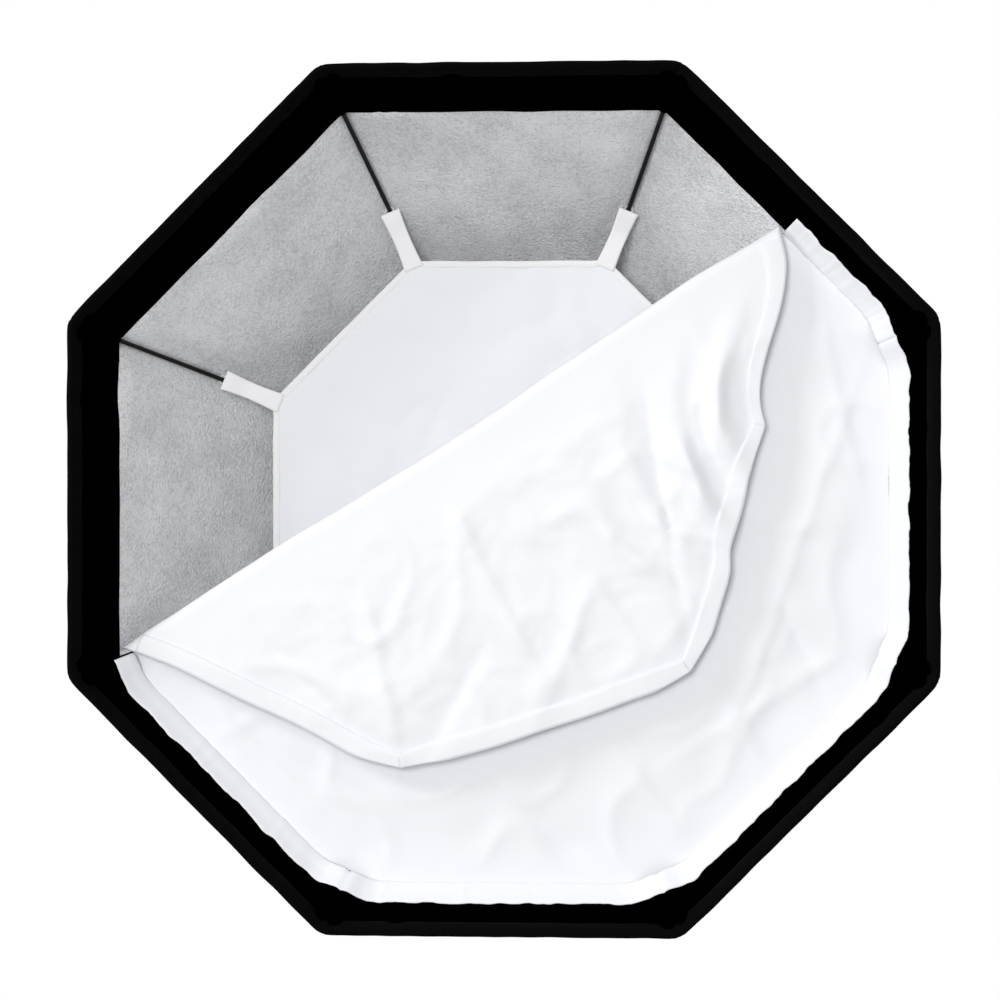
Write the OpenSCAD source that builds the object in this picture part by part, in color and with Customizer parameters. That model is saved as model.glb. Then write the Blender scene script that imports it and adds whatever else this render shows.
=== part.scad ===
// Octagonal studio softbox with plug-in rods, a rotating speedring and a peel-back front diffuser.
// Millimetres. +Y runs along the light axis towards the lamp, -Y is the lit front, +Z is up.
// The origin is the centre of the lamp seat on the bayonet ring.

/* [Canopy] */
// Width across the flats at the rim
rim_flat_w = 950; // [800:10:1200]
// Distance from the lamp seat to the rim plane
box_depth = 400; // [360:5:460]
// Width across the flats of the rear opening
rear_flat_w = 224; // [220:2:250]
// Distance from the lamp seat to the rear opening
rear_y = 40; // [38:1:46]
// Outward bow of each wall between the rear opening and the rim
wall_bulge = 23; // [16:1:30]
// Thickness of the black outer shell
shell_t = 1.0; // [0.6:0.1:2]
// Thickness of the silver lining
lining_t = 0.8; // [0.4:0.1:1.5]
// Width of the cloth tape over each seam, to one side of the seam
seam_tape_w = 7; // [5:1:12]
// Thickness of seam tape, rim binding and cuff cloth
tape_t = 1.2; // [0.8:0.1:2]

/* [Rim] */
// Depth of the black loop band behind the rim
band_depth = 57; // [40:1:75]
// Thickness of the loop band
band_t = 1.0; // [0.6:0.1:2]
// Length of the stitched rim binding, measured along the axis
binding_l = 3; // [2:0.5:6]

/* [Front diffuser] */
// Thickness of the diffuser cloth
cloth_t = 1.0; // [0.6:0.1:1.5]
// Width of the hook tape on the hem
hook_w = 24; // [18:1:32]
// Radius of the roll where the cloth folds over
fold_r = 8; // [6:0.5:11]
// Where the fold ends on the upper right side, as a share of that side
fold_end_share = 0.53; // [0.35:0.01:0.7]
// Gap left at the fold between the fixed cloth and the flap
fold_gap = 0.4; // [0.2:0.1:0.8]
// Gap between the closed flap and the loop band
flap_gap = 3; // [2:0.5:6]

/* [Inner diffuser] */
// Width across the flats of the inner diffuser with its binding
inner_flat_w = 546; // [460:2:600]
// Distance from the lamp seat to the inner diffuser
inner_y = 235; // [200:5:270]
// Width of the white edge binding
inner_binding_w = 7; // [5:1:12]
// Width of the straps that tie the inner diffuser to the rods
strap_w = 23; // [16:1:30]

/* [Rods] */
// Diameter of the spring-steel rods
rod_d = 5; // [4:0.5:6.5]
// Distance from the rod's centre to the canopy's corner seam
rod_gap = 12; // [11:0.5:16]
// Distance from the rim plane to the rod's front end
rod_end_y = 20; // [18:1:30]
// Outer diameter of the crimped ferrule
ferrule_d = 8; // [7.5:0.5:10]
// Length of the ferrule
ferrule_l = 24; // [18:1:30]
// Length of the corner pocket that takes the rod's tip
pocket_l = 40; // [28:1:50]

/* [Speedring] */
// Outer diameter of the speedring
ring_d = 172; // [168:1:180]
// Front of the speedring, measured from the lamp seat
ring_front_y = 36; // [34:1:38]
// Opening in front of the bayonet ring
ring_bore_d = 114; // [104:1:118]
// Diameter of the bayonet flange
flange_d = 128; // [124:1:134]
// Thickness of the bayonet flange
flange_t = 12; // [11:0.5:14]
// Bore that the lamp shines through
light_bore_d = 92; // [84:1:94]
// Outer diameter of the bayonet collar
collar_d = 98; // [97:0.5:102]
// Height of the bayonet collar behind the lamp seat
collar_l = 9; // [8:0.5:14]
// Diameter over the bayonet lugs
lug_d = 108; // [104:1:112]
// Width of each lug, in degrees
lug_angle = 32; // [20:1:50]
// Diameter of the clamp screw's shank
screw_d = 5; // [4:0.5:6]
// Diameter of the clamp screw's knob
knob_d = 14; // [12:1:16]
// Length of the clamp screw's knob
knob_l = 14; // [10:1:20]
// Distance from the lamp seat to the clamp screws
screw_y = 6.5; // [6:0.5:7]

/* [Hidden] */
SIDES = 8;
HALF = 180 / SIDES;

// Clearances
run_gap = 0.05;     // running fit of round pieces
seat_gap = 0.3;     // cloth that lies on another piece
ring_gap = 0.08;    // bayonet flange in the speedring
cuff_gap = 0.4;     // cuff around the speedring
ply_gap = 0.1;      // between layers of cloth sewn together
seam_gap = 0.1;     // between neighbouring panels at a seam

// Wall arc in the plane through the middle of a panel, as radius and axial place
wall_start = [rear_flat_w / 2, -rear_y];
wall_end = [rim_flat_w / 2, -box_depth];
wall_chord = norm(wall_end - wall_start);
wall_r = (pow(wall_chord / 2, 2) + pow(wall_bulge, 2)) / (2 * wall_bulge);
chord_dir = (wall_end - wall_start) / wall_chord;
chord_out = [-chord_dir[1], chord_dir[0]];
wall_centre = (wall_start + wall_end) / 2 - (wall_r - wall_bulge) * chord_out;

// Radius of the wall's inner face at axial place y, taken t inside the shell
function wall_at(y, t = 0) = wall_centre[0] + sqrt(pow(wall_r - t, 2) - pow(y - wall_centre[1], 2));
// Slope of the wall from the axis at axial place y
function wall_slope(y) = atan(-(y - wall_centre[1]) / sqrt(pow(wall_r, 2) - pow(y - wall_centre[1], 2)));
// The corner seam at axial place y, moved inwards by gap
function seam_dir(y) = let (d = [-tan(wall_slope(y)) / cos(HALF), -1]) d / norm(d);
function seam_point(y, gap) =
    let (d = seam_dir(y), n = [d[1], -d[0]])
    [wall_at(y) / cos(HALF), y] + gap * n;
// Centre of the circle through three points
function circle_centre(a, b, c) =
    let (
        d = 2 * (a[0] * (b[1] - c[1]) + b[0] * (c[1] - a[1]) + c[0] * (a[1] - b[1])),
        p = a * a, q = b * b, s = c * c
    )
    [(p * (b[1] - c[1]) + q * (c[1] - a[1]) + s * (a[1] - b[1])) / d,
     (p * (c[0] - b[0]) + q * (a[0] - c[0]) + s * (b[0] - a[0])) / d];
function angle_of(v) = atan2(v[1], v[0]);

// Rod arc in the plane through a corner
socket_mouth = [ring_d / 2, -(ring_front_y - 10)];
rod_front = seam_point(-(box_depth - rod_end_y), rod_gap);
rod_mid = seam_point(-(box_depth + rear_y) / 2, rod_gap);
rod_centre = circle_centre(socket_mouth, rod_mid, rod_front);
rod_r = norm(socket_mouth - rod_centre);
mouth_angle = angle_of(socket_mouth - rod_centre);
front_angle = angle_of(rod_front - rod_centre);
socket_depth = 16;
ferrule_seat = 14;
ferrule_wall = 2;
tip_d = rod_d + 4;
tip_l = 16;
tip_wall = 3;
pocket_end = 5;
pocket_half_w = 15;
// Angle along the rod arc that a length covers
function arc_deg(l) = l / rod_r * 180 / PI;
rod_back_angle = mouth_angle + arc_deg(ferrule_seat - ferrule_wall);
tip_angle = front_angle + arc_deg(tip_l / 2);
// A point on the rod arc
function rod_point(a) = rod_centre + rod_r * [cos(a), sin(a)];
function rod_angle_at_y(y) = asin((y - rod_centre[1]) / rod_r);

// Loop band, diffuser planes and the fold line
band_y = -(box_depth - band_depth);
hem_depth = hook_w * cos(wall_slope(band_y));
fixed_a = wall_at(band_y, band_t + ply_gap) - seat_gap;
flap_a = fixed_a - flap_gap;
flap_y = band_y - 2 * fold_r;
fold_axis_y = band_y - fold_r + cloth_t / 2;
corner_x = fixed_a * tan(HALF);
fold_start = [-fixed_a, -corner_x];
fold_end = [corner_x, fixed_a] + fold_end_share * (fixed_a - corner_x) * [1, -1];
fold_angle = angle_of(fold_end - fold_start);
notch_w = rod_d + 9;
notch_r = rod_point(rod_angle_at_y(band_y + 3))[0] - rod_d / 2 / cos(45) - 5;
far = 4 * rim_flat_w;

// Speedring
ring_back_y = 1;
recess_d = flange_d + 2 * ring_gap;
recess_y = -(flange_t + ring_gap);
boss_d = ferrule_d + 5;
boss_out = 7;
groove_depth = 2.5;
groove_w = 4;
dog_d = 3;
knob_gap = 1.5;
cuff_y = screw_y + knob_d / 2 + 2;
cuff_out = 13;
retainer_t = 2;
retainer_w = 8;
retainer_screw_d = 3;
retainer_screw_l = 8;
retainer_head_d = 6;
retainer_head_t = 2;
retainer_pcd = ring_bore_d + retainer_w + 2;

// ---------------------------------------------------------------- helpers
// Turns a piece drawn in the plane of radius X and axis Y round to sector i
module sector(i) rotate([0, -i * 360 / SIDES, 0]) children();
module corner(i) rotate([0, -(i + 0.5) * 360 / SIDES, 0]) children();

// Cylinder on the light axis
module on_axis(d, y0, y1, fn = 128)
    translate([0, y1, 0]) rotate([90, 0, 0]) cylinder(d = d, h = y1 - y0, $fn = fn);

// Octagon across flats 2a in the plane of X and Z, with flats on the axes
module octagon(a) rotate(HALF) circle(r = a / cos(HALF), $fn = SIDES);

// A plate from a drawing of the front view: X right, Y of the drawing up
module front_plate(y0, y1)
    translate([0, y1, 0]) rotate([90, 0, 0]) linear_extrude(height = y1 - y0) children();

// The wedge that one panel fills
module wedge(trim = seam_gap / 2)
    rotate([90, 0, 0])
        linear_extrude(height = 2 * far, center = true)
            translate([trim / sin(HALF), 0])
                polygon([[0, 0], [far, -far * tan(HALF)], [far, far * tan(HALF)]]);

// Band of the wall arc between two offsets and two axial places
module wall_profile(t0, t1, y0, y1)
    intersection() {
        translate(wall_centre)
            difference() {
                circle(r = wall_r + t1, $fn = 256);
                circle(r = wall_r + t0, $fn = 256);
            }
        translate([wall_centre[0] + wall_r / 8, min(y0, y1)])
            square([wall_r, abs(y1 - y0)]);
    }

// One panel-wide sheet of the wall
module wall_sheet(t0, t1, y0, y1)
    intersection() {
        linear_extrude(height = rim_flat_w, center = true) wall_profile(t0, t1, y0, y1);
        wedge();
    }

// Arc of round bar along the rod line
module rod_arc(d, a0, a1)
    translate([rod_centre[0], rod_centre[1], 0])
        rotate([0, 0, a1])
            rotate_extrude(angle = a0 - a1, $fn = 256)
                translate([rod_r, 0]) circle(d = d, $fn = 32);

// Puts +Z of a piece along the rod line at angle a, pointing to the front
module along_rod(a)
    translate([rod_point(a)[0], rod_point(a)[1], 0])
        rotate([0, 0, a]) rotate([90, 0, 0]) children();

// ---------------------------------------------------------------- lamp end
module bayonet_ring()
    color("silver")
        difference() {
            union() {
                difference() {
                    on_axis(flange_d, -flange_t, 0);
                    difference() {
                        on_axis(flange_d + 2, -screw_y - groove_w / 2, -screw_y + groove_w / 2);
                        on_axis(flange_d - 2 * groove_depth, -flange_t, 0);
                    }
                }
                on_axis(collar_d, -1, collar_l);
                for (i = [0 : 2])
                    rotate([0, i * 120 + 30, 0]) bayonet_lug();
            }
            on_axis(light_bore_d, -flange_t - 1, collar_l + 1);
        }

module bayonet_lug()
    intersection() {
        difference() {
            on_axis(lug_d, collar_l - 3.5, collar_l);
            on_axis(collar_d - 2, collar_l - 5, collar_l + 1);
        }
        rotate([90, 0, 0])
            linear_extrude(height = 60, center = true)
                polygon([[0, 0], [lug_d, -lug_d * tan(lug_angle / 2)], [lug_d, lug_d * tan(lug_angle / 2)]]);
    }

module speedring()
    color("dimgray")
        difference() {
            union() {
                on_axis(ring_d, -ring_front_y, -ring_back_y);
                for (i = [0 : SIDES - 1])
                    corner(i)
                        along_rod(mouth_angle)
                            translate([0, 0, -socket_depth - 1]) cylinder(d = boss_d, h = socket_depth + 1 + boss_out, $fn = 48);
            }
            on_axis(ring_bore_d, -ring_front_y - 1, 0);
            on_axis(recess_d, recess_y, 0);
            for (i = [0 : SIDES - 1])
                corner(i)
                    along_rod(mouth_angle)
                        translate([0, 0, -ferrule_seat])
                            cylinder(d = ferrule_d + 2 * run_gap, h = ferrule_seat + boss_out + 1, $fn = 48);
            for (i = [0 : 3])
                rotate([0, i * 90, 0])
                    translate([recess_d / 2 - 4, -screw_y, 0])
                        rotate([0, 90, 0]) cylinder(d = screw_d + 2 * run_gap, h = ring_d / 2, $fn = 48);
            for (i = [0 : 3])
                rotate([0, i * 90 + 45, 0])
                    translate([retainer_pcd / 2, -ring_front_y, 0])
                        rotate([90, 0, 0])
                            translate([0, 0, -retainer_screw_l - 0.5])
                                cylinder(d = retainer_screw_d + 2 * run_gap, h = retainer_screw_l + 1, $fn = 32);
        }

// Thin front ring that finishes the speedring's mouth
module retaining_ring()
    color("black")
        difference() {
            on_axis(retainer_pcd + retainer_w, -ring_front_y - retainer_t, -ring_front_y);
            on_axis(ring_bore_d, -ring_front_y - retainer_t - 1, -ring_front_y + 1);
            for (i = [0 : 3])
                rotate([0, i * 90 + 45, 0])
                    translate([retainer_pcd / 2, -ring_front_y + 1, 0])
                        rotate([90, 0, 0])
                            cylinder(d = retainer_screw_d + 2 * run_gap, h = retainer_t + 2, $fn = 32);
        }

module ring_screws()
    color("silver")
        for (i = [0 : 3])
            rotate([0, i * 90 + 45, 0])
                translate([retainer_pcd / 2, -ring_front_y - retainer_t, 0])
                    rotate([90, 0, 0]) {
                        cylinder(d = retainer_head_d, h = retainer_head_t, $fn = 32);
                        translate([0, 0, -retainer_screw_l])
                            cylinder(d = retainer_screw_d, h = retainer_screw_l + 0.1, $fn = 32);
                    }

module clamp_screw(i)
    color("black")
        rotate([0, (i - 1) * 90, 0])
            translate([0, -screw_y, 0])
                rotate([0, 90, 0]) {
                    translate([0, 0, flange_d / 2 - groove_depth + 0.6])
                        cylinder(d = dog_d, h = groove_depth + 2, $fn = 32);
                    translate([0, 0, recess_d / 2 + 0.5])
                        cylinder(d = screw_d, h = ring_d / 2 + knob_gap + 2 - recess_d / 2 - 0.5, $fn = 48);
                    translate([0, 0, ring_d / 2 + knob_gap])
                        difference() {
                            cylinder(d = knob_d, h = knob_l, $fn = 64);
                            for (k = [0 : 11])
                                rotate(k * 30)
                                    translate([knob_d / 2 + 0.5, 0, -1]) cylinder(d = 2.4, h = knob_l - 1, $fn = 16);
                        }
                }

// ---------------------------------------------------------------- rods
module rod(i)
    color("black")
        corner(i - 1) rod_arc(rod_d, rod_back_angle, front_angle + arc_deg(tip_wall));

module rod_ferrules()
    color("silver")
        for (i = [0 : SIDES - 1])
            corner(i)
                along_rod(mouth_angle)
                    translate([0, 0, -ferrule_seat + run_gap])
                        difference() {
                            cylinder(d = ferrule_d, h = ferrule_l, $fn = 48);
                            translate([0, 0, ferrule_wall - 0.5])
                                cylinder(d = rod_d + 6 * run_gap, h = ferrule_l, $fn = 48);
                        }

module rod_tips()
    color("black")
        for (i = [0 : SIDES - 1])
            corner(i)
                along_rod(tip_angle)
                    translate([0, 0, -tip_l / 2])
                        difference() {
                            union() {
                                cylinder(d = tip_d, h = tip_l - tip_d / 4, $fn = 48);
                                translate([0, 0, tip_l - tip_d / 4 - 0.01])
                                    cylinder(d1 = tip_d, d2 = tip_d / 2, h = tip_d / 4, $fn = 48);
                            }
                            translate([0, 0, -1]) cylinder(d = rod_d + 4 * run_gap, h = tip_l - tip_wall + 1.5, $fn = 48);
                        }

// Sewn pocket in each rim corner, with sides that lie on the two loop bands
module corner_pockets() {
    slope = wall_slope(-box_depth + pocket_l / 2);
    turn = acos(pow(cos(slope), 2) * cos(2 * HALF) + pow(sin(slope), 2));
    side = 90 - turn / 2;
    apex = rod_gap - (band_t + ply_gap + seat_gap) / sin(side) - 0.4;
    flat_x = -tip_d / 2 - 2;
    color("black")
        for (i = [0 : SIDES - 1])
            corner(i)
                along_rod(tip_angle)
                    translate([0, 0, tip_l / 2 + pocket_end - pocket_l])
                        difference() {
                            linear_extrude(height = pocket_l)
                                polygon([[apex - 2, -2 * tan(side)], [apex - 2, 2 * tan(side)],
                                         [apex - pocket_half_w / tan(side), pocket_half_w], [flat_x, tip_d / 2 + 2],
                                         [flat_x, -tip_d / 2 - 2], [apex - pocket_half_w / tan(side), -pocket_half_w]]);
                            translate([0, 0, -1])
                                cylinder(d = tip_d + 2 * seat_gap, h = pocket_l - pocket_end + 1.5, $fn = 48);
                        }
}

// ---------------------------------------------------------------- canopy
module shell_panel(i)
    color("black") sector(i - 1) wall_sheet(0, shell_t, -rear_y, -box_depth);

module lining_panel(i)
    color("gainsboro") sector(i - 1) wall_sheet(-lining_t - ply_gap, -ply_gap, -rear_y, band_y + ply_gap);

module loop_bands()
    color("black")
        for (i = [0 : SIDES - 1]) sector(i) wall_sheet(-band_t - ply_gap, -ply_gap, band_y, -box_depth);

// Tape over the outside of each seam, folded along the seam line
module seam_bindings()
    color("black")
        for (i = [0 : SIDES - 1])
            sector(i) {
                difference() {
                    wall_sheet(shell_t + ply_gap, shell_t + tape_t + ply_gap, -rear_y, -box_depth);
                    wedge(seam_tape_w);
                }
            }

module rim_binding()
    color("black")
        for (i = [0 : SIDES - 1])
            sector(i)
                intersection() {
                    linear_extrude(height = rim_flat_w, center = true)
                        translate([wall_at(-box_depth, band_t + tape_t), -box_depth - binding_l - ply_gap])
                            square([band_t + shell_t + 2.4 * tape_t, binding_l]);
                    wedge();
                }

// Cloth cuff that closes the rear opening round the speedring
module rear_cuff()
    color("black")
        for (i = [0 : SIDES - 1])
            sector(i)
                intersection() {
                    linear_extrude(height = rear_flat_w, center = true)
                        polygon([
                            [ring_d / 2 + cuff_gap, -cuff_y],
                            [ring_d / 2 + cuff_gap + cuff_out, -cuff_y],
                            [rear_flat_w / 2 + shell_t, -rear_y + ply_gap],
                            [rear_flat_w / 2 - tape_t, -rear_y + ply_gap],
                            [ring_d / 2 + cuff_gap + cuff_out - tape_t, -cuff_y - tape_t],
                            [ring_d / 2 + cuff_gap, -cuff_y - tape_t]
                        ]);
                    wedge();
                }

// Pull strap that draws the cuff tight, lying on its rear face
module cuff_strap()
    color("black")
        difference() {
            front_plate(-cuff_y + ply_gap, -cuff_y + tape_t) octagon(ring_d / 2 + cuff_gap + cuff_out - 1);
            front_plate(-cuff_y - 1, -cuff_y + 2) octagon(ring_d / 2 + cuff_gap + 2);
        }

// ---------------------------------------------------------------- inner diffuser
module inner_diffuser()
    color("white")
        front_plate(-inner_y - cloth_t / 2, -inner_y + cloth_t / 2)
            octagon(inner_flat_w / 2 - inner_binding_w);

module inner_binding()
    color("white")
        for (i = [0 : SIDES - 1])
            sector(i)
                intersection() {
                    translate([inner_flat_w / 2 - inner_binding_w, -inner_y - cloth_t, -inner_flat_w / 2])
                        cube([inner_binding_w, 2 * cloth_t, inner_flat_w]);
                    wedge();
                }

module inner_straps() {
    a = rod_angle_at_y(-inner_y);
    hold = rod_point(a);
    inner_corner = inner_flat_w / 2 / cos(HALF);
    loop_d = rod_d + 2 * seat_gap;
    color("white")
        for (i = [0 : SIDES - 1])
            corner(i)
                difference() {
                    union() {
                        along_rod(a)
                            translate([0, 0, -strap_w / 2]) cylinder(d = loop_d + 2 * cloth_t, h = strap_w, $fn = 48);
                        difference() {
                            translate([inner_corner - 5, -inner_y - cloth_t / 2, -strap_w / 2])
                                cube([hold[0] - inner_corner + 5, cloth_t, strap_w]);
                            sector(0.5) strap_end();
                            sector(-0.5) strap_end();
                        }
                    }
                    along_rod(a)
                        translate([0, 0, -strap_w]) cylinder(d = loop_d, h = 2 * strap_w, $fn = 48);
                }
}

// Space that the inner diffuser's edge takes from a strap
module strap_end()
    translate([0, -inner_y - 5, -inner_flat_w / 2]) cube([inner_flat_w / 2 + seat_gap, 10, inner_flat_w]);

// ---------------------------------------------------------------- front diffuser
// Keeps the part of a front-view drawing on one side of the fold: 1 above, -1 below
module fold_side(side)
    intersection() {
        children();
        translate(fold_start)
            rotate(fold_angle)
                translate([-far / 2, side > 0 ? fold_gap : -far - fold_gap]) square([far, far]);
    }

// Notches that let the rods past the corners of a front-view drawing
module rod_notches(w)
    for (i = [0 : SIDES - 1])
        rotate(HALF + i * 360 / SIDES) translate([notch_r, -w / 2]) square([rim_flat_w, w]);

module front_diffuser()
    color("white")
        front_plate(band_y, band_y + cloth_t)
            fold_side(-1)
                difference() {
                    octagon(fixed_a - cloth_t);
                    rod_notches(notch_w);
                }

// Hook tape of the fixed part, turned forward along the loop band
module front_hem()
    color("white")
        intersection() {
            for (i = [0 : SIDES - 1])
                sector(i) wall_sheet(-band_t - cloth_t - 2 * ply_gap, -band_t - 2 * ply_gap, band_y, band_y - hem_depth);
            front_plate(-box_depth, 0)
                fold_side(-1)
                    difference() {
                        square(2 * far, center = true);
                        rod_notches(2 * pocket_half_w + 4);
                    }
        }

// Folds a front-view drawing over the fold line
module folded_over()
    translate(fold_start)
        rotate(fold_angle) mirror([0, 1]) rotate(-fold_angle)
            translate(-fold_start) children();

module diffuser_flap()
    color("white")
        front_plate(flap_y, flap_y + cloth_t)
            folded_over()
                fold_side(1)
                    difference() {
                        octagon(flap_a);
                        rod_notches(notch_w);
                    }

module flap_hem()
    color("white")
        front_plate(flap_y - cloth_t, flap_y)
            folded_over()
                fold_side(1)
                    difference() {
                        octagon(flap_a);
                        octagon(flap_a - hook_w);
                        rod_notches(notch_w);
                    }

bayonet_ring();
speedring();
ring_screws();
retaining_ring();
rod_ferrules();
rod_tips();
corner_pockets();
loop_bands();
seam_bindings();
rim_binding();
rear_cuff();
cuff_strap();
inner_diffuser();
inner_binding();
inner_straps();
front_diffuser();
front_hem();
diffuser_flap();
flap_hem();
for (i = [1 : 4])
    clamp_screw(i);
for (i = [1 : SIDES]) {
    rod(i);
    shell_panel(i);
    lining_panel(i);
}
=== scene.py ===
"""Visual model of an octagonal studio softbox with a half-opened front diffuser."""

import logging
import math
from dataclasses import dataclass, field
from enum import Enum
from typing import Callable, Optional, Sequence

import bmesh
import bpy
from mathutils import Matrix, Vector, noise

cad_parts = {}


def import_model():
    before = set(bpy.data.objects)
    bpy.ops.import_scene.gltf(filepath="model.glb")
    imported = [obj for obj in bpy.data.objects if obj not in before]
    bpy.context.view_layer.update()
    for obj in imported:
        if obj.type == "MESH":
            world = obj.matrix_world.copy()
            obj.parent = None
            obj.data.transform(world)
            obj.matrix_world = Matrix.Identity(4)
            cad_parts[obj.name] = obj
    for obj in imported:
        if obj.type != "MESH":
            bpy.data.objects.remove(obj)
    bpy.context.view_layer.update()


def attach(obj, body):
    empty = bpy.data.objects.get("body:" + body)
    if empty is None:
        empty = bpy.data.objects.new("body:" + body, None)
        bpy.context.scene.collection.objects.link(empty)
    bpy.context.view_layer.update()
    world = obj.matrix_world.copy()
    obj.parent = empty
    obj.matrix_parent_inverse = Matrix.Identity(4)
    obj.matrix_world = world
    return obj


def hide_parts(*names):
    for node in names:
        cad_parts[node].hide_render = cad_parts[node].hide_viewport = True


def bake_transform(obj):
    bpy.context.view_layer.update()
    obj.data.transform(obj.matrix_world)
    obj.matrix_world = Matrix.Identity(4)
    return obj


logging.basicConfig(level=logging.INFO, format="%(message)s")
LOG = logging.getLogger("softbox")

SIDES = 8
STEP = 2 * math.pi / SIDES
HALF = STEP / 2
COS_HALF = math.cos(HALF)
TAN_HALF = math.tan(HALF)

# The wall's arc in the plane through the middle of a panel, as (radius, axial place)
WALL_CENTRE = (-0.698659, -1.220430)
WALL_RADIUS = 1.431980
REAR_Y = -0.040
RIM_Y = -0.400
BAND_Y = -0.343
# Inner diffuser: the plane it is stretched in, and its size
INNER_Y = -0.235
INNER_INRADIUS = 0.273
# Front diffuser: the fold line in X and Z, its roll, and the size of the flat cloth
FOLD_START = Vector((-0.431328, -0.178662))
FOLD_DIR = Vector((0.842260, 0.539073))
FOLD_UP = Vector((-0.539073, 0.842260))
FOLD_LENGTH = 0.8832
FOLD_Y = -0.3505
FOLD_RADIUS = 0.008
CLOTH_INRADIUS = 0.4312
HOOK_TAPE_WIDTH = 0.024
# The folded half is drawn in near its rim, and its corners are blunted past a radius
DRAWN_IN = 0.016
CORNER_RADIUS = 0.448
CORNER_SHARE = 0.5
# Cloth taken up by the wrinkles of the folded half
WRINKLE_STRETCH = 1.045

Point = tuple[float, float, float]
Mapping = Callable[[float, float], Point]


class Finish(Enum):
    """The named finishes of the softbox."""

    NYLON = "black_nylon"
    TAPE = "black_webbing"
    LOOP = "loop_velour"
    SILVER = "silver_lining"
    CLOTH = "white_cloth"
    WHITE_TAPE = "white_tape"
    ROD = "rod_steel"
    ZINC = "zinc_steel"
    CAST = "cast_metal"
    COAT = "ring_coat"
    PLASTIC = "black_plastic"
    RUBBER = "black_rubber"


def smooth(low: float, high: float, x: float) -> float:
    """Smoothstep of x between low and high.

    Args:
        low: value at which the result is 0.
        high: value at which the result is 1.
        x: value to place between them.

    Returns:
        A number from 0 to 1.
    """
    t = min(max((x - low) / (high - low), 0.0), 1.0)
    return t * t * (3 - 2 * t)


def wall_at(y: float, inside: float = 0.0) -> float:
    """Radius of the wall in the middle plane of a panel.

    Args:
        y: axial place in metres.
        inside: distance inside the wall's inner face, measured square to it.

    Returns:
        The radius in metres.
    """
    reach = (WALL_RADIUS - inside) ** 2 - (y - WALL_CENTRE[1]) ** 2
    return WALL_CENTRE[0] + math.sqrt(reach)


def wall_point(sector: float, y: float, across: float, inside: float) -> Point:
    """Point on a panel of the canopy.

    Args:
        sector: number of the panel, counted from +X towards +Z.
        y: axial place of the point on the wall's inner face.
        across: place across the panel, from -1 at one seam to 1 at the other.
        inside: distance inside the wall's inner face.

    Returns:
        The point in metres.
    """
    slant = math.asin((y - WALL_CENTRE[1]) / WALL_RADIUS)
    radius = WALL_CENTRE[0] + (WALL_RADIUS - inside) * math.cos(slant)
    axial = WALL_CENTRE[1] + (WALL_RADIUS - inside) * math.sin(slant)
    return turned(sector * STEP, radius, axial, across * radius * TAN_HALF)


def turned(angle: float, radius: float, y: float, side: float) -> Point:
    """Point given in a plane through the axis.

    Args:
        angle: direction of the plane, from +X towards +Z, in radians.
        radius: distance from the axis along the plane.
        y: axial place.
        side: distance to the side of the plane.

    Returns:
        The point in metres.
    """
    c, s = math.cos(angle), math.sin(angle)
    return (radius * c - side * s, y, radius * s + side * c)


def along_profile(profile: Sequence[tuple[float, float]], share: float) -> tuple[float, float]:
    """Place on a line of points.

    Args:
        profile: the points.
        share: how far along the line, from 0 to 1.

    Returns:
        The two coordinates of the place.
    """
    place = share * (len(profile) - 1)
    i = min(int(place), len(profile) - 2)
    part = place - i
    (a, b), (c, d) = profile[i], profile[i + 1]
    return a * (1 - part) + c * part, b * (1 - part) + d * part


def rough(x: float, y: float, z: float, scale: float, seed: float = 0.0) -> float:
    """Seeded smooth noise.

    Args:
        x: first coordinate in metres.
        y: second coordinate in metres.
        z: third coordinate in metres.
        scale: size of the bumps in metres.
        seed: shift that gives each piece its own pattern.

    Returns:
        A number from about -1 to 1.
    """
    return noise.noise(Vector((x / scale + seed, y / scale - seed, z / scale + 2 * seed)))


def crumple(x: float, z: float, scale: float, seed: float) -> float:
    """Sharp-edged wrinkles, as in pressed and unfolded cloth.

    Args:
        x: first coordinate in the plane.
        z: second coordinate in the plane.
        scale: size of the wrinkles in metres.
        seed: shift that gives each cloth its own pattern.

    Returns:
        A number from 0 to 1, highest along the ridges.
    """
    bend = 0.35 * scale * rough(x, z, seed, 2.2 * scale, seed)
    ridge = 1 - min(abs(rough(x + bend, z - bend, seed, scale, seed + 1.5)) * 2.6, 1.0)
    return ridge**2.5


@dataclass(frozen=True)
class Crease:
    """A soft ridge along a line in the flat cloth.

    Attributes:
        start: one end, in the plane's coordinates.
        end: the other end.
        width: half width of the ridge.
        height: how far the ridge stands out, negative for a furrow.
    """

    start: tuple[float, float]
    end: tuple[float, float]
    width: float
    height: float

    def at(self, x: float, z: float) -> float:
        """Height of the ridge at a place.

        Args:
            x: first coordinate in the plane.
            z: second coordinate in the plane.

        Returns:
            The height in metres.
        """
        ax, az = self.start
        dx, dz = self.end[0] - ax, self.end[1] - az
        length = math.hypot(dx, dz)
        along = ((x - ax) * dx + (z - az) * dz) / length
        wander = 0.35 * self.width * rough(x, z, 0.0, 0.045, self.width * 911)
        off = ((x - ax) * dz - (z - az) * dx) / length + wander
        fade = smooth(-0.25 * length, 0.2 * length, along)
        fade *= smooth(1.25 * length, 0.8 * length, along)
        ridge = math.exp(-abs(off) / (self.width if off > 0 else 0.45 * self.width))
        return self.height * fade * ridge


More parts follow.
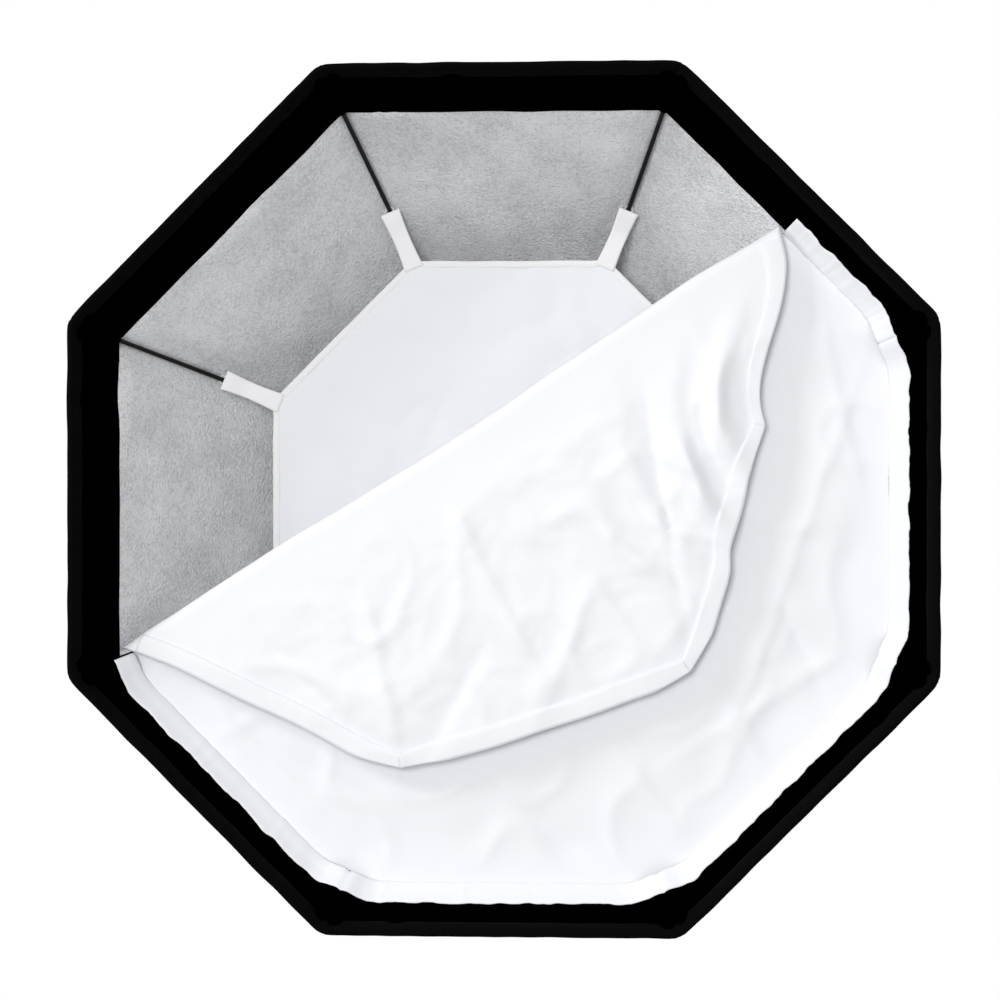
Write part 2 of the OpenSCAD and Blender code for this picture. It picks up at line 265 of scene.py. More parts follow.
class Piece:
    """A mesh piece of the visual model."""

    def __init__(self, name: str) -> None:
        """Starts an empty piece.

        Args:
            name: the object's name.
        """
        self.name = name
        self.bm = bmesh.new()

    def grid(self, mapping: Mapping, columns: int, rows: int) -> None:
        """Adds a sheet.

        Args:
            mapping: gives the point for (u, v), both from 0 to 1.
            columns: number of faces along u.
            rows: number of faces along v.
        """
        made = bmesh.ops.create_grid(self.bm, x_segments=columns, y_segments=rows, size=0.5)
        for vert in made["verts"]:
            vert.co = mapping(vert.co.x + 0.5, vert.co.y + 0.5)

    def finish(
        self,
        finish: Finish,
        thickness: float = 0.0,
        outward: float = 0.0,
        weld: float = 0.0,
    ) -> bpy.types.Object:
        """Turns the piece into an object.

        Args:
            finish: the finish it gets.
            thickness: thickness of the cloth, or 0 for a closed body.
            outward: Solidify offset, from -1 to 1.
            weld: distance within which vertices are joined.

        Returns:
            The finished object.
        """
        if weld:
            bmesh.ops.remove_doubles(self.bm, verts=self.bm.verts[:], dist=weld)
        mesh = bpy.data.meshes.new(self.name)
        for face in self.bm.faces:
            face.smooth = True
        self.bm.to_mesh(mesh)
        self.bm.free()
        obj = bpy.data.objects.new(self.name, mesh)
        bpy.context.scene.collection.objects.link(obj)
        if thickness:
            solid = obj.modifiers.new("Thickness", "SOLIDIFY")
            solid.thickness, solid.offset = thickness, outward
        dress(obj, finish)
        LOG.info("piece %s: %d faces", self.name, len(mesh.polygons))
        return obj


# ------------------------------------------------------------------ materials


@dataclass(frozen=True)
class Look:
    """Shader values of a finish.

    Attributes:
        colour: linear base colour.
        roughness: surface roughness.
        metallic: metallic share.
        grain: size of the surface grain in metres.
        bump: height of the grain in metres.
        varied: how far the grain changes the colour, as a share.
        specular: strength of the clear reflection.
        patch: size of the lighter and darker patches in metres.
        patched: how far the patches change the colour, as a share.
    """

    colour: tuple[float, float, float]
    roughness: float
    metallic: float = 0.0
    grain: float = 0.0008
    bump: float = 0.0001
    varied: float = 0.05
    specular: float = 0.5
    patch: float = 0.05
    patched: float = 0.0


LOOKS: dict[Finish, Look] = {
    Finish.NYLON: Look(
        (0.008, 0.008, 0.009), 0.6, grain=0.0012, bump=0.00025, varied=0.2, specular=0.3
    ),
    Finish.TAPE: Look(
        (0.0016, 0.0016, 0.0018), 0.8, grain=0.0014, bump=0.0003, varied=0.2, specular=0.04
    ),
    Finish.LOOP: Look((0.0002, 0.0002, 0.0002), 1.0, grain=0.0009, bump=0.0003, specular=0.0),
    Finish.SILVER: Look(
        (0.94, 0.95, 0.97),
        0.38,
        metallic=0.22,
        grain=0.0026,
        bump=0.0034,
        varied=0.24,
        patch=0.07,
        patched=0.09,
    ),
    Finish.CLOTH: Look(
        (0.93, 0.94, 0.975), 0.9, grain=0.0006, bump=0.00002, varied=0.004, specular=0.15
    ),
    Finish.WHITE_TAPE: Look(
        (0.955, 0.955, 0.97), 0.9, grain=0.0012, bump=0.0001, varied=0.008, specular=0.15
    ),
    Finish.ROD: Look((0.004, 0.004, 0.004), 0.45, grain=0.004, bump=0.00001, specular=0.25),
    Finish.ZINC: Look((0.62, 0.62, 0.63), 0.33, metallic=1.0, grain=0.002, bump=0.00002),
    Finish.CAST: Look((0.70, 0.70, 0.71), 0.38, metallic=1.0, grain=0.0012, bump=0.00004),
    Finish.COAT: Look((0.016, 0.016, 0.018), 0.42, grain=0.0012, bump=0.00006),
    Finish.PLASTIC: Look((0.010, 0.010, 0.011), 0.42, grain=0.001, bump=0.00004),
    Finish.RUBBER: Look((0.006, 0.006, 0.006), 0.7, grain=0.001, bump=0.00004, specular=0.2),
}


def grain_group() -> bpy.types.NodeTree:
    """Makes the shared surface grain.

    Returns:
        A node group with a Height and a Shade output.
    """
    group = bpy.data.node_groups.new("Grain", "ShaderNodeTree")
    group.interface.new_socket("Size", in_out="INPUT", socket_type="NodeSocketFloat")
    group.interface.new_socket("Height", in_out="OUTPUT", socket_type="NodeSocketFloat")
    group.interface.new_socket("Shade", in_out="OUTPUT", socket_type="NodeSocketFloat")
    nodes, links = group.nodes, group.links
    entry, leave = nodes.new("NodeGroupInput"), nodes.new("NodeGroupOutput")
    where = nodes.new("ShaderNodeTexCoord")
    inverse = nodes.new("ShaderNodeMath")
    inverse.operation = "DIVIDE"
    inverse.inputs[0].default_value = 1.0
    links.new(entry.outputs["Size"], inverse.inputs[1])
    fine = nodes.new("ShaderNodeTexNoise")
    fine.inputs["Detail"].default_value = 3.0
    fine.inputs["Roughness"].default_value = 0.7
    links.new(where.outputs["Object"], fine.inputs["Vector"])
    links.new(inverse.outputs[0], fine.inputs["Scale"])
    cells = nodes.new("ShaderNodeTexVoronoi")
    links.new(where.outputs["Object"], cells.inputs["Vector"])
    links.new(inverse.outputs[0], cells.inputs["Scale"])
    links.new(fine.outputs["Fac"], leave.inputs["Height"])
    both = nodes.new("ShaderNodeMath")
    both.operation = "MULTIPLY_ADD"
    both.inputs[1].default_value = 0.5
    links.new(cells.outputs["Color"], both.inputs[0])
    links.new(fine.outputs["Fac"], both.inputs[2])
    links.new(both.outputs[0], leave.inputs["Shade"])
    return group


# Values of the grain's outputs that count as darkest and lightest
SHADE_RANGE = (0.35, 1.15)
PATCH_RANGE = (0.36, 0.64)


def share_range(
    nodes: bpy.types.Nodes, span: tuple[float, float], share: float
) -> bpy.types.ShaderNode:
    """Adds a node that turns a grain value into a factor about 1.

    Args:
        nodes: the material's nodes.
        span: the values that give the lowest and the highest factor.
        share: how far the factor goes below and above 1.

    Returns:
        The new node.
    """
    node = nodes.new("ShaderNodeMapRange")
    node.inputs["From Min"].default_value, node.inputs["From Max"].default_value = span
    node.inputs["To Min"].default_value = 1 - share
    node.inputs["To Max"].default_value = 1 + share
    return node


@dataclass
class Paintbox:
    """Makes and keeps one material per finish."""

    group: Optional[bpy.types.NodeTree] = None
    kept: dict[Finish, bpy.types.Material] = field(default_factory=dict)

    def material(self, finish: Finish) -> bpy.types.Material:
        """Material for a finish, made once.

        Args:
            finish: the finish wanted.

        Returns:
            The material.
        """
        if finish in self.kept:
            return self.kept[finish]
        if self.group is None:
            self.group = grain_group()
        look = LOOKS[finish]
        made = self.kept[finish] = bpy.data.materials.new(f"{finish.value}_look")
        made.use_nodes = True
        nodes, links = made.node_tree.nodes, made.node_tree.links
        shader = nodes["Principled BSDF"]
        shader.inputs["Roughness"].default_value = look.roughness
        shader.inputs["Metallic"].default_value = look.metallic
        shader.inputs["Specular IOR Level"].default_value = look.specular
        grain = nodes.new("ShaderNodeGroup")
        grain.node_tree = self.group
        grain.inputs["Size"].default_value = look.grain
        ramp = share_range(nodes, SHADE_RANGE, look.varied)
        links.new(grain.outputs["Shade"], ramp.inputs["Value"])
        tint = nodes.new("ShaderNodeVectorMath")
        tint.operation = "SCALE"
        tint.inputs[0].default_value = look.colour
        if look.patched:
            large = nodes.new("ShaderNodeGroup")
            large.node_tree = self.group
            large.inputs["Size"].default_value = look.patch
            spread = share_range(nodes, PATCH_RANGE, look.patched)
            links.new(large.outputs["Height"], spread.inputs["Value"])
            product = nodes.new("ShaderNodeMath")
            product.operation = "MULTIPLY"
            links.new(ramp.outputs["Result"], product.inputs[0])
            links.new(spread.outputs["Result"], product.inputs[1])
            links.new(product.outputs[0], tint.inputs["Scale"])
        else:
            links.new(ramp.outputs["Result"], tint.inputs["Scale"])
        links.new(tint.outputs["Vector"], shader.inputs["Base Color"])
        bump = nodes.new("ShaderNodeBump")
        bump.inputs["Distance"].default_value = look.bump
        links.new(grain.outputs["Height"], bump.inputs["Height"])
        links.new(bump.outputs["Normal"], shader.inputs["Normal"])
        return made


PAINTS = Paintbox()


def dress(obj: bpy.types.Object, finish: Finish) -> None:
    """Gives an object its finish.

    Args:
        obj: the object.
        finish: its finish.
    """
    obj.data.materials.clear()
    obj.data.materials.append(PAINTS.material(finish))


# ------------------------------------------------------------------ canopy


@dataclass
class Canopy:
    """Black shell, silver lining, loop band, seams, rim and rear cuff."""

    shell_thickness: float = 0.0008
    lining_thickness: float = 0.0005
    band_thickness: float = 0.0012
    dent: float = 0.0065
    seam_tape_half: float = 0.007
    seam_welt_half: float = 0.0026
    pocket_rear_y: float = -0.364
    pocket_length: float = 0.034
    pocket_half: float = 0.019
    pleats: int = 64
    strap_radius: float = 0.0948
    strap_y: float = -0.0137
    # Section of the rim tape, as (distance inside the wall, distance behind the rim)
    rim_profile: Sequence[tuple[float, float]] = (
        (0.0034, 0.012),
        (0.0040, 0.004),
        (0.0032, -0.0012),
        (0.0008, -0.0026),
        (-0.0014, -0.0022),
        (-0.0026, 0.001),
        (-0.0024, 0.006),
        (-0.0020, 0.013),
    )
    # Section of the cuff, as (inradius, axial place), from the ring to the panels
    cuff_profile: Sequence[tuple[float, float]] = (
        (0.0870, -0.0160),
        (0.0930, -0.0148),
        (0.0990, -0.0155),
        (0.1060, -0.0270),
        (0.1140, -0.0415),
    )

    def shell(self) -> None:
        """Builds the eight outer panels."""
        for k in range(SIDES):

            def mapping(u: float, v: float, k: int = k) -> Point:
                y = REAR_Y + (RIM_Y - REAR_Y) * v
                across = 2 * u - 1
                edge = 1 - abs(across)
                pull = 0.0012 * rough(u * 3, v * 40, k, 2.2, 3.0) * math.exp(-edge * 5)
                swell = 0.0016 * rough(u, v, k, 0.4, 9.0)
                swell *= smooth(0, 0.3, edge)
                swell *= smooth(0, 0.2, 1 - v)
                return wall_point(k, y, across, -0.0006 - pull - swell)

            piece = Piece(f"outer_panel_{k + 1}")
            piece.grid(mapping, 28, 48)
            obj = piece.finish(Finish.NYLON, self.shell_thickness)
            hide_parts(f"shell_panel_{k + 1}")
            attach(obj, "box")

    def lining(self) -> None:
        """Builds the eight inner panels, set back a little from each seam."""
        for k in range(SIDES):

            def mapping(u: float, v: float, k: int = k) -> Point:
                y = REAR_Y - 0.002 + (BAND_Y - 0.006 - REAR_Y) * v
                across = (2 * u - 1) * (1 - 0.0022 / (wall_at(y) * TAN_HALF))
                edge = smooth(0, 0.25, 1 - abs(across))
                edge *= smooth(0, 0.12, v)
                edge *= smooth(0, 0.06, 1 - v)
                soft = 0.5 + rough(u * 0.9, v * 1.4, k, 0.42, 5.0) + 0.4 * rough(u, v, k, 0.16, 6.0)
                seam = 0.0016 * abs(rough(v * 9, k, u, 0.5, 2.0)) * math.exp(-(1 - abs(across)) * 9)
                hem = 0.002 * abs(rough(u * 14, k, v, 1.1, 7.0)) * math.exp(-(1 - v) * 22)
                tuck = smooth(0.0, 0.02, 1 - v)
                inside = 0.0012 + (self.dent * max(soft, 0) * edge + seam + hem) * tuck
                return wall_point(k, y, across, inside)

            piece = Piece(f"silver_panel_{k + 1}")
            piece.grid(mapping, 56, 72)
            obj = piece.finish(Finish.SILVER, self.lining_thickness)
            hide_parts(f"lining_panel_{k + 1}")
            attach(obj, "box")

    def band(self) -> None:
        """Builds the loop band inside the rim."""
        piece = Piece("loop_band")
        for k in range(SIDES):

            def mapping(u: float, v: float, k: int = k) -> Point:
                y = BAND_Y + 0.001 * rough(u * 6, k, 0, 0.7, 8.0) + (RIM_Y - BAND_Y) * v
                lift = 0.0026 + 0.0008 * rough(u * 8, v * 3, k, 1.0, 1.0)
                return wall_point(k, y, 2 * u - 1, lift)

            piece.grid(mapping, 48, 10)
        obj = piece.finish(Finish.LOOP, self.band_thickness, weld=0.0012)
        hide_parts("loop_bands")
        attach(obj, "box")

    def rim(self) -> None:
        """Builds the tape that wraps the rim."""
        piece = Piece("rim_tape")
        for k in range(SIDES):

            def mapping(u: float, v: float, k: int = k) -> Point:
                inside, behind = along_profile(self.rim_profile, v)
                wave = 0.0006 * rough(u * 7, k, 0, 0.6, 4.0)
                corner = 0.0035 * math.exp(-(1 - abs(2 * u - 1)) * 40)
                return wall_point(k, RIM_Y + behind + wave, 2 * u - 1, inside + wave + corner)

            piece.grid(mapping, 64, 21)
        obj = piece.finish(Finish.TAPE, 0.0006, weld=0.0004)
        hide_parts("rim_binding")
        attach(obj, "box")

    def seams(self) -> None:
        """Builds the folded tape over each outer seam and the welt on its inside."""
        tape, welt = Piece("seam_tape"), Piece("seam_welt")
        for k in range(SIDES):
            for outer in (True, False):
                half = self.seam_tape_half if outer else self.seam_welt_half

                def mapping(
                    u: float, v: float, k: int = k, outer: bool = outer, half: float = half
                ) -> Point:
                    end = RIM_Y + 0.004 if outer else BAND_Y - 0.004
                    y = REAR_Y + (end - REAR_Y) * v
                    side = (2 * u - 1) * half / (wall_at(y) * TAN_HALF)
                    raised = -0.0024 - 0.0006 * (1 - (2 * u - 1) ** 2) if outer else 0.0009
                    stitch = 0.00015 * math.sin(v * 900) if outer else 0.0
                    sector = k if side <= 0 else k + 1
                    across = 1 + side if side <= 0 else -1 + side
                    return wall_point(sector, y, across, raised + stitch)

                (tape if outer else welt).grid(mapping, 8, 120)
        obj = tape.finish(Finish.TAPE, 0.0009)
        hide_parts("seam_bindings")
        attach(obj, "box")
        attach(welt.finish(Finish.NYLON, 0.0004), "box")

    def pockets(self) -> None:
        """Builds the padded pocket over each rod's front end."""
        piece = Piece("rod_pockets")
        for k in range(SIDES):

            def mapping(u: float, v: float, k: int = k) -> Point:
                y = self.pocket_rear_y - self.pocket_length * v
                side = (2 * u - 1) * (self.pocket_half - 0.004 * (1 - v))
                arch = max(math.cos((2 * u - 1) * math.pi / 2), 0.0) ** 1.2
                depth = 0.0035 + 0.0150 * arch * (1 - 0.85 * smooth(0.55, 1.0, v) ** 2)
                radius = wall_at(y, depth) / COS_HALF - abs(side) * TAN_HALF * 0.9
                return turned((k + 0.5) * STEP, radius, y, side)

            piece.grid(mapping, 16, 14)
        obj = piece.finish(Finish.LOOP, 0.001, 1.0)
        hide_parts("corner_pockets")
        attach(obj, "box")

    def cuff(self) -> None:
        """Builds the gathered cuff round the speedring and its draw strap."""
        piece, strap = Piece("gathered_cuff"), Piece("draw_strap")

        def mapping(u: float, v: float) -> Point:
            inradius, y = along_profile(self.cuff_profile, v)
            angle = u * 2 * math.pi
            off = (angle + HALF) % STEP - HALF
            radius = inradius * (1 + (1 / math.cos(off) - 1) * v)
            phase = angle * self.pleats + 2 * rough(u * 9, 0, 0, 1, 2)
            pleat = 0.0007 * math.sin(phase) * (1 - 0.7 * v)
            return turned(angle, radius, y + pleat, 0.0)

        def belt(u: float, v: float) -> Point:
            turn = v * 2 * math.pi
            angle = u * 2 * math.pi
            radius = self.strap_radius + 0.0036 * math.cos(turn)
            return turned(angle, radius, self.strap_y + 0.0008 * math.sin(turn), 0.0)

        piece.grid(mapping, 384, 14)
        obj = piece.finish(Finish.NYLON, 0.0008, weld=0.00002)
        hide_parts("rear_cuff")
        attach(obj, "box")
        strap.grid(belt, 128, 12)
        obj = strap.finish(Finish.TAPE, weld=0.00002)
        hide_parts("cuff_strap")
        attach(obj, "box")

    def build(self) -> None:
        """Builds the whole canopy."""
        self.shell()
        self.lining()
        self.band()
        self.rim()
        self.seams()
        self.pockets()
        self.cuff()


# ------------------------------------------------------------------ diffusers


def octagon_sheet(piece: Piece, inradius: float, spacing: float, angle: float) -> None:
    """Adds a flat octagon of cloth in X and Z, with its threads turned by an angle.

    Args:
        piece: the piece that gets it.
        inradius: distance from the centre to each side.
        spacing: size of the grid's faces.
        angle: direction of the threads, in radians.
    """
    span = inradius * 2.3
    count = int(span / spacing)
    c, s = math.cos(angle), math.sin(angle)

    def mapping(u: float, v: float) -> Point:
        x, z = (u - 0.5) * span, (v - 0.5) * span
        return (x * c - z * s, 0.0, x * s + z * c)

    piece.grid(mapping, count, count)
    for k in range(SIDES):
        out = Vector((math.cos(k * STEP), 0.0, math.sin(k * STEP)))
        every = piece.bm.verts[:] + piece.bm.edges[:] + piece.bm.faces[:]
        bmesh.ops.bisect_plane(
            piece.bm, geom=every, dist=1e-5, plane_co=out * inradius, plane_no=out, clear_outer=True
        )


@dataclass
class InnerDiffuser:
    """White inner diffuser with its binding and eight ties."""

    tie_half: float = 0.0115
    tie_reach: float = 0.3560
    sleeve_radius: float = 0.0048
    sleeve_place: float = 0.3515
    sleeve_length: float = 0.021
    rod_slope: float = 43.5
    creases: Sequence[Crease] = (
        Crease((-0.05, 0.06), (-0.13, -0.02), 0.012, 0.0022),
        Crease((0.02, 0.05), (-0.10, 0.10), 0.010, 0.0018),
        Crease((-0.20, 0.02), (0.00, -0.10), 0.014, -0.0018),
        Crease((0.06, 0.20), (0.10, 0.02), 0.012, 0.0016),
    )

    def sag(self, x: float, z: float) -> float:
        """How far the cloth stands back at a place.

        Args:
            x: place along X.
            z: place along Z.

        Returns:
            The distance in metres.
        """
        radius = math.hypot(x, z)
        soft = 0.004 * (0.5 + rough(x, z, 0, 0.12, 4.0)) * smooth(0.27, 0.12, radius)
        edge = 0.0012 * rough(x, z, 0, 0.03, 1.0) * smooth(0.15, 0.26, radius)
        pressed = 0.0016 * crumple(x, z, 0.075, 3.0) * smooth(0.27, 0.22, radius)
        return soft + edge + pressed + sum(c.at(x, z) for c in self.creases)

    def cloth(self) -> None:
        """Builds the octagon of cloth."""
        piece = Piece("inner_cloth")
        octagon_sheet(piece, INNER_INRADIUS - 0.006, 0.006, 0.0)
        for vert in piece.bm.verts:
            vert.co.y = INNER_Y + self.sag(vert.co.x, vert.co.z)
        obj = piece.finish(Finish.CLOTH, 0.0006)
        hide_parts("inner_diffuser")
        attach(obj, "box")

    def binding(self) -> None:
        """Builds the folded tape round the edge."""
        piece = Piece("inner_edge_tape")
        for k in range(SIDES):

            def mapping(u: float, v: float, k: int = k) -> Point:
                turn = v * 2 * math.pi
                wave = 0.0007 * rough(u * 5, k, 0, 0.8, 3.0) * smooth(0, 0.1, 0.5 - abs(u - 0.5))
                inradius = INNER_INRADIUS - 0.004 + 0.0042 * math.cos(turn) + wave
                y = INNER_Y + 0.0014 * math.sin(turn)
                return turned(k * STEP, inradius, y, (2 * u - 1) * inradius * TAN_HALF)

            piece.grid(mapping, 40, 12)
        obj = piece.finish(Finish.WHITE_TAPE, weld=0.00003)
        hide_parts("inner_binding")
        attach(obj, "box")

    def ties(self) -> None:
        """Builds the ties from the corners to the rods, each with a sleeve and a loose end."""
        piece, loose = Piece("corner_ties"), Piece("tie_ends")
        corner = INNER_INRADIUS / COS_HALF
        for k in range(SIDES):
            twist = rough(k * 3.1, 0, 0, 1.3, 2.0)

            def mapping(u: float, v: float, k: int = k, twist: float = twist) -> Point:
                radius = corner - 0.010 + (self.tie_reach - corner + 0.010) * v
                half = self.tie_half * (1 - 0.16 * math.sin(v * math.pi))
                lift = -0.0012 - 0.0065 * smooth(0.55, 1.0, v)
                curl = 0.0022 * math.sin(v * 5 + twist * 3) * smooth(0, 0.3, v)
                side = (2 * u - 1) * half + 0.003 * twist * v
                tilt = 0.004 * twist * (2 * u - 1) * smooth(0.2, 1, v)
                return turned((k + 0.5) * STEP, radius, INNER_Y + lift + curl * 0.5 + tilt, side)

            piece.grid(mapping, 8, 24)

            def end(u: float, v: float, k: int = k, twist: float = twist) -> Point:
                turn = -2.2 + 3.9 * v
                angle = math.radians(self.rod_slope)
                reach = self.sleeve_radius * math.cos(turn)
                back = self.sleeve_radius * math.sin(turn)
                along = (u - 0.5) * self.sleeve_length
                radius = self.sleeve_place + reach * math.cos(angle) + along * math.sin(angle)
                y = INNER_Y + reach * math.sin(angle) - along * math.cos(angle)
                return turned((k + 0.5) * STEP, radius, y, back + 0.001 * twist)

            loose.grid(end, 8, 16)
        obj = piece.finish(Finish.WHITE_TAPE, 0.0011)
        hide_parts("inner_straps")
        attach(obj, "box")
        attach(loose.finish(Finish.WHITE_TAPE, 0.0008), "box")

    def build(self) -> None:
        """Builds the inner diffuser."""
        self.binding()
        self.cloth()
        self.ties()


@dataclass
class FrontDiffuser:
    """White front diffuser: half fixed to the loop band, half folded over."""

    spacing: float = 0.0055
    fixed_creases: Sequence[Crease] = (
        Crease((0.33, 0.30), (0.40, 0.00), 0.014, 0.0040),
        Crease((0.39, 0.12), (0.26, -0.24), 0.016, 0.0045),
        Crease((0.30, -0.10), (0.38, -0.26), 0.012, -0.0040),
        Crease((0.24, -0.20), (0.33, -0.36), 0.012, 0.0038),
        Crease((0.12, -0.26), (0.22, -0.40), 0.014, 0.0040),
        Crease((-0.02, -0.31), (0.10, -0.41), 0.013, -0.0036),
        Crease((-0.16, -0.32), (-0.30, -0.24), 0.012, 0.0030),
        Crease((-0.33, -0.22), (-0.22, -0.33), 0.012, 0.0030),
        Crease((0.20, -0.28), (0.36, -0.18), 0.012, 0.0036),
    )
    flap_creases: Sequence[Crease] = (
        Crease((-0.05, -0.01), (0.02, -0.16), 0.012, 0.0050),
        Crease((-0.15, -0.11), (-0.11, -0.30), 0.014, 0.0055),
        Crease((0.06, 0.00), (0.17, -0.08), 0.014, 0.0040),
        Crease((-0.27, -0.15), (-0.16, -0.26), 0.012, -0.0035),
        Crease((0.10, -0.10), (0.04, -0.25), 0.016, 0.0050),
        Crease((0.16, 0.10), (0.20, -0.12), 0.012, -0.0050),
        Crease((-0.02, -0.16), (-0.09, -0.30), 0.012, -0.0040),
    )

    def flat_place(self, x: float, z: float) -> tuple[float, float]:
        """Place in the flat cloth, along and above the fold.

        Args:
            x: place along X.
            z: place along Z.

        Returns:
            The distance along the fold and the distance above it.
        """
        off = Vector((x, z)) - FOLD_START
        return off.dot(FOLD_DIR), off.dot(FOLD_UP)

    def rim_distance(self, x: float, z: float) -> float:
        """Distance of a place in the flat cloth from the middle, square to the nearest side.

        Args:
            x: place along X.
            z: place along Z.

        Returns:
            The distance in metres, equal to the inradius on the edge.
        """
        return max(abs(x * math.cos(k * STEP) + z * math.sin(k * STEP)) for k in range(4))

    def opened(self, x: float, z: float) -> Point:
        """Point of the folded half, drawn in a little to close clear of the walls and rods.

        Args:
            x: place along X in the flat cloth.
            z: place along Z in the flat cloth.

        Returns:
            The point in metres.
        """
        above = self.flat_place(x, z)[1]
        rim = self.rim_distance(x, z)
        shrink = 1 - DRAWN_IN * smooth(0.0, 0.08, above) * smooth(0.28, 0.42, rim)
        radius = math.hypot(x, z)
        if radius > CORNER_RADIUS:
            blunted = CORNER_RADIUS + (radius - CORNER_RADIUS) * CORNER_SHARE
            shrink *= 1 - (1 - blunted / radius) * smooth(0.0, 0.08, above)
        along, above = self.flat_place(x * shrink, z * shrink)
        inner = smooth(CLOTH_INRADIUS, CLOTH_INRADIUS - 0.06, rim)
        return self.folded(along, max(above, 0.0), inner)

    def fixed(self, x: float, z: float) -> Point:
        """Point of the cloth that stays on the loop band.

        Args:
            x: place along X in the flat cloth.
            z: place along Z in the flat cloth.

        Returns:
            The point in metres.
        """
        rim = self.rim_distance(x, z)
        inner = smooth(CLOTH_INRADIUS, CLOTH_INRADIUS - 0.05, rim)
        soft = 0.55 + 0.5 * rough(x, z, 0, 0.13, 6.0) + 0.25 * rough(x, z, 0, 0.05, 2.0)
        crease = sum(c.at(x, z) for c in self.fixed_creases) + 0.0030 * crumple(x, z, 0.085, 11.0)
        return (x, -0.3432 + max(0.009 * soft - crease, -0.0016) * inner, z)

    def folded(self, along: float, above: float, inner: float) -> Point:
        """Point of the roll and of the cloth folded over.

        Args:
            along: distance along the fold.
            above: distance above the fold in the flat cloth.
            inner: 0 on the cloth's edge and 1 well inside it.

        Returns:
            The point in metres.
        """
        ends = smooth(0.0, 0.05, along) * smooth(0.0, 0.05, FOLD_LENGTH - along)
        wobble = 0.0035 * rough(along, 0, 0, 0.09, 3.0) + 0.006 * rough(along, 0, 0, 0.3, 8.0)
        lift = wobble * ends
        turn = min(above / FOLD_RADIUS, math.pi)
        height = FOLD_RADIUS * math.sin(turn) + lift * smooth(0, 2.0, turn)
        beyond = max(above - math.pi * FOLD_RADIUS, 0.0) * WRINKLE_STRETCH
        down = beyond - height
        swell = smooth(0.0, 0.10, beyond)
        rumple = smooth(0.50, 0.86, along) * smooth(0.02, 0.15, beyond)
        shift_along = -0.085 * rumple * (1 + 0.25 * rough(along, beyond, 0, 0.08, 2.0))
        sway = 0.010 * rough(beyond, along, 0, 0.11, 5.0) * smooth(0.05, 0.3, beyond)
        place = FOLD_START + FOLD_DIR * (along + shift_along + sway)
        x, z = place - FOLD_UP * (down + 0.014 * rumple)
        y = FOLD_Y + FOLD_RADIUS * math.cos(turn)
        soft = 0.0035 * (0.6 + rough(x, z, 1.0, 0.12, 7.0))
        soft += 0.0012 * (0.6 + rough(x, z, 2.0, 0.04, 9.0))
        crease = sum(c.at(x, z) for c in self.flap_creases)
        crease += 0.0032 * crumple(x, z, 0.080, 4.0) + 0.0012 * crumple(x, z, 0.034, 7.0)
        pleat = 0.0
        if rumple > 0:
            phase = along * 74 + 3.0 * rough(along, beyond, 0, 0.12, 4.0)
            wave = (0.5 + 0.5 * math.sin(phase)) ** 1.6
            pleat = 0.021 * rumple * wave * (0.8 + 0.6 * rough(along, beyond, 0, 0.06, 6.0))
        edge_wave = 0.0024 * (1 + rough(along, beyond, 3.0, 0.05, 2.0)) * smooth(0.22, 0.36, beyond)
        calm = 0.2 + 0.8 * inner
        raised = max((soft + crease) * calm + edge_wave, -0.001) * swell
        y -= raised + max(pleat, 0.0) * (0.35 + 0.65 * inner)
        return (x, y, z)

    def cloth(self) -> None:
        """Builds the whole front cloth as one piece that bends at the fold."""
        piece = Piece("front_cloth")
        octagon_sheet(piece, CLOTH_INRADIUS, self.spacing, math.atan2(FOLD_DIR.y, FOLD_DIR.x))
        for vert in piece.bm.verts:
            x, z = vert.co.x, vert.co.z
            above = self.flat_place(x, z)[1]
            vert.co = self.opened(x, z) if above > 0 else self.fixed(x, z)
        obj = piece.finish(Finish.CLOTH, 0.0005)
        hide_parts("front_diffuser", "diffuser_flap")
        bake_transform(obj)

    def flap_tape(self) -> None:
        """Builds the hook tape along the folded half's edge."""
        piece = Piece("flap_edge_tape")
        nearest = 0.03  # the tape stops this far above the fold
        for k in range(SIDES):
            out = Vector((math.cos(k * STEP), math.sin(k * STEP)))
            side = Vector((-out.y, out.x))
            half = CLOTH_INRADIUS * TAN_HALF
            low, high = -half, half
            a, b = [self.flat_place(*(out * CLOTH_INRADIUS + side * t))[1] for t in (low, high)]
            if max(a, b) < nearest:
                continue
            cut = low + (nearest - a) / (b - a) * (high - low)
            ends = (low if a > nearest else cut, high if b > nearest else cut)

            def mapping(
                u: float,
                v: float,
                out: Vector = out,
                side: Vector = side,
                ends: tuple[float, float] = ends,
            ) -> Point:
                inset = HOOK_TAPE_WIDTH * v
                t = ends[0] + (ends[1] - ends[0]) * u
                limit = (CLOTH_INRADIUS - inset) * TAN_HALF
                t = min(max(t, -limit), limit)
                flat = out * (CLOTH_INRADIUS - inset) + side * t
                x, y, z = self.opened(flat.x, flat.y)
                return (x, y - 0.0013 - 0.0005 * math.sin(v * math.pi), z)

            piece.grid(mapping, 72, 6)
        obj = piece.finish(Finish.CLOTH, 0.0007)
        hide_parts("flap_hem")
        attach(obj, "flap")

    def fixed_tape(self) -> None:
        """Builds the hook tape that holds the fixed half to the loop band."""
        piece = Piece("front_edge_tape")
        # Each side that is taped, as (sector, start, end) across its panel
        sides = (
            (5, -1.0, 1.0),
            (6, -1.0, 1.0),
            (7, -1.0, 1.0),
            (0, -1.0, 1.0),
            (1, -1.0, -0.06),
        )
        for k, low, high in sides:

